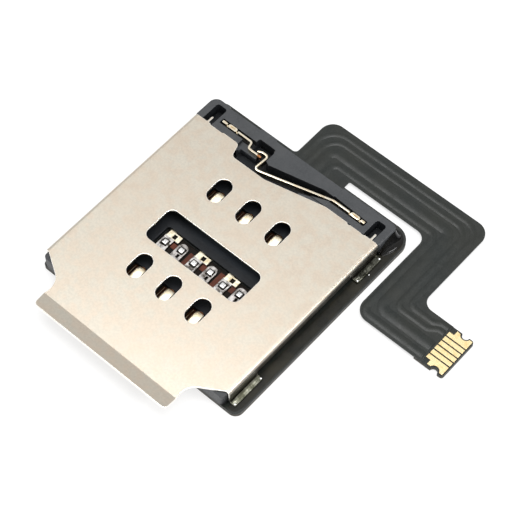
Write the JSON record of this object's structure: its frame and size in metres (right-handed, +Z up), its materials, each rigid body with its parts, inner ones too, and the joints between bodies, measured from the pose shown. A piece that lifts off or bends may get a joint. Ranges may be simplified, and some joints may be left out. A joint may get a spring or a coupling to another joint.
{
  "type": "sim card socket",
  "caption": "Micro-SIM card socket: folded steel cover over a moulded housing, sprung gold contacts, card-detect switch leaves, on a flex circuit with a Z-shaped tail ending in gold fingers.",
  "frame": {"origin": "under the middle of the six card contacts, on the underside of the socket stiffener", "axes": "+X across the card slot towards the finger end of the tail, +Y the way the card goes in, +Z up from the board side to the cover"},
  "size_m": [0.0247, 0.0242, 0.0021],
  "materials": {
    "satin_steel": "satin",
    "housing_plastic": "matt",
    "contact_gold": "gold plated, bright",
    "solder": "bright",
    "flex_film": "satin",
    "stiffener_board": "matt",
    "sealant": "glossy"
  },
  "bodies": {
    "socket": {"cover_shell": "satin_steel", "housing": "housing_plastic", "contact_lead_1": "contact_gold", "contact_lead_2": "contact_gold", "contact_lead_3": "contact_gold", "contact_lead_4": "contact_gold", "contact_lead_5": "contact_gold", "contact_lead_6": "contact_gold", "detect_spring_fixed": "contact_gold", "flex_circuit": "flex_film", "socket_stiffener": "stiffener_board", "finger_stiffener": "stiffener_board", "gold_finger_1": "contact_gold", "gold_finger_2": "contact_gold", "gold_finger_3": "contact_gold", "gold_finger_4": "contact_gold", "gold_finger_5": "contact_gold", "gold_finger_6": "contact_gold", "tail_solder_1": "solder", "tail_solder_2": "solder", "tail_solder_3": "solder", "tail_solder_4": "solder", "tail_solder_5": "solder", "tail_solder_6": "solder", "foot_solder_front": "solder", "foot_solder_rear": "solder", "corner_sealant": "sealant"},
    "contact_tongue_1": {"contact_1": "contact_gold"},
    "contact_tongue_2": {"contact_2": "contact_gold"},
    "contact_tongue_3": {"contact_3": "contact_gold"},
    "contact_tongue_4": {"contact_4": "contact_gold"},
    "contact_tongue_5": {"contact_5": "contact_gold"},
    "contact_tongue_6": {"contact_6": "contact_gold"},
    "switch_leaf": {"detect_spring_moving": "contact_gold"}
  },
  "joints": [
    {"name": "contact_1_press", "type": "hinge", "parent": "socket", "child": "contact_tongue_1", "pos_m": [-0.00254, 0.00137, 0.00044], "axis": [-1, 0, 0], "range_deg": [0, 9], "stiffness_Nm_per_rad": 0.0075},
    {"name": "contact_2_press", "type": "hinge", "parent": "socket", "child": "contact_tongue_2", "pos_m": [0, 0.00137, 0.00044], "axis": [-1, 0, 0], "range_deg": [0, 9], "stiffness_Nm_per_rad": 0.0075},
    {"name": "contact_3_press", "type": "hinge", "parent": "socket", "child": "contact_tongue_3", "pos_m": [0.00254, 0.00137, 0.00044], "axis": [-1, 0, 0], "range_deg": [0, 9], "stiffness_Nm_per_rad": 0.0075},
    {"name": "contact_4_press", "type": "hinge", "parent": "socket", "child": "contact_tongue_4", "pos_m": [-0.00254, -0.00625, 0.00044], "axis": [-1, 0, 0], "range_deg": [0, 9], "stiffness_Nm_per_rad": 0.0075},
    {"name": "contact_5_press", "type": "hinge", "parent": "socket", "child": "contact_tongue_5", "pos_m": [0, -0.00625, 0.00044], "axis": [-1, 0, 0], "range_deg": [0, 9], "stiffness_Nm_per_rad": 0.0075},
    {"name": "contact_6_press", "type": "hinge", "parent": "socket", "child": "contact_tongue_6", "pos_m": [0.00254, -0.00625, 0.00044], "axis": [-1, 0, 0], "range_deg": [0, 9], "stiffness_Nm_per_rad": 0.0075},
    {"name": "switch_leaf_push", "type": "hinge", "parent": "socket", "child": "switch_leaf", "pos_m": [0.00622, 0.00819, 0.00131], "axis": [0, 0, -1], "range_deg": [0, 3], "stiffness_Nm_per_rad": 0.025}
  ]
}
